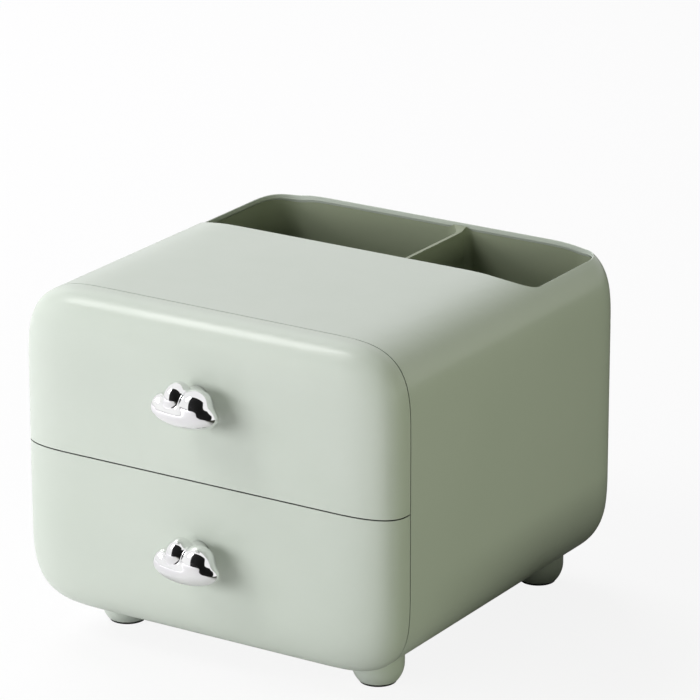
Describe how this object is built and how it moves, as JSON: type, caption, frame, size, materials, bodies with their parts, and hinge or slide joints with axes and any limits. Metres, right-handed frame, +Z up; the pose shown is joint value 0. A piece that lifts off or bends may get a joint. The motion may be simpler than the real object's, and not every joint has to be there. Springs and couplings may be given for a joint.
{
  "type": "brush holder with drawers",
  "caption": "Rounded desk-top box with a two-pocket brush holder open at the top rear, drawers below and in front with cloud-shaped knobs, on short round feet.",
  "frame": {"origin": "on the floor, below the middle of the box's overall length (knobs included) and width", "axes": "+Z up, +Y from the drawer fronts to the back, +X to the right of someone facing the drawers"},
  "size_m": [0.16, 0.182, 0.1357],
  "materials": {
    "body_plastic": "satin-gloss pale sage green moulded plastic",
    "cup_plastic": "satin sage green moulded plastic, inside of the brush pockets",
    "inner_plastic": "satin pale sage green moulded plastic",
    "knob_chrome": "polished bright plating on cast metal",
    "steel": "zinc-plated steel",
    "pad_rubber": "matt black soft foam rubber"
  },
  "bodies": {
    "body": {"outer_shell": "body_plastic", "brush_cup": "cup_plastic", "middle_shelf": "inner_plastic", "lower_shelf": "inner_plastic", "foot_screws": "steel", "front_left_foot": "body_plastic", "front_right_foot": "body_plastic", "rear_left_foot": "body_plastic", "rear_right_foot": "body_plastic", "front_left_foot_pad": "pad_rubber", "front_right_foot_pad": "pad_rubber", "rear_left_foot_pad": "pad_rubber", "rear_right_foot_pad": "pad_rubber"},
    "upper_drawer": {"upper_drawer_front": "body_plastic", "upper_drawer_tray": "inner_plastic", "upper_knob": "knob_chrome", "upper_knob_screw": "steel", "upper_knob_washer": "steel", "upper_front_screws": "steel"},
    "lower_drawer": {"lower_drawer_front": "body_plastic", "lower_drawer_tray": "inner_plastic", "lower_knob": "knob_chrome", "lower_knob_screw": "steel", "lower_knob_washer": "steel", "lower_front_screws": "steel"}
  },
  "joints": [
    {"name": "upper_drawer_slide", "type": "slide", "parent": "body", "child": "upper_drawer", "axis": [0, -1, 0], "range_m": [0, 0.062]},
    {"name": "lower_drawer_slide", "type": "slide", "parent": "body", "child": "lower_drawer", "axis": [0, -1, 0], "range_m": [0, 0.062]}
  ]
}
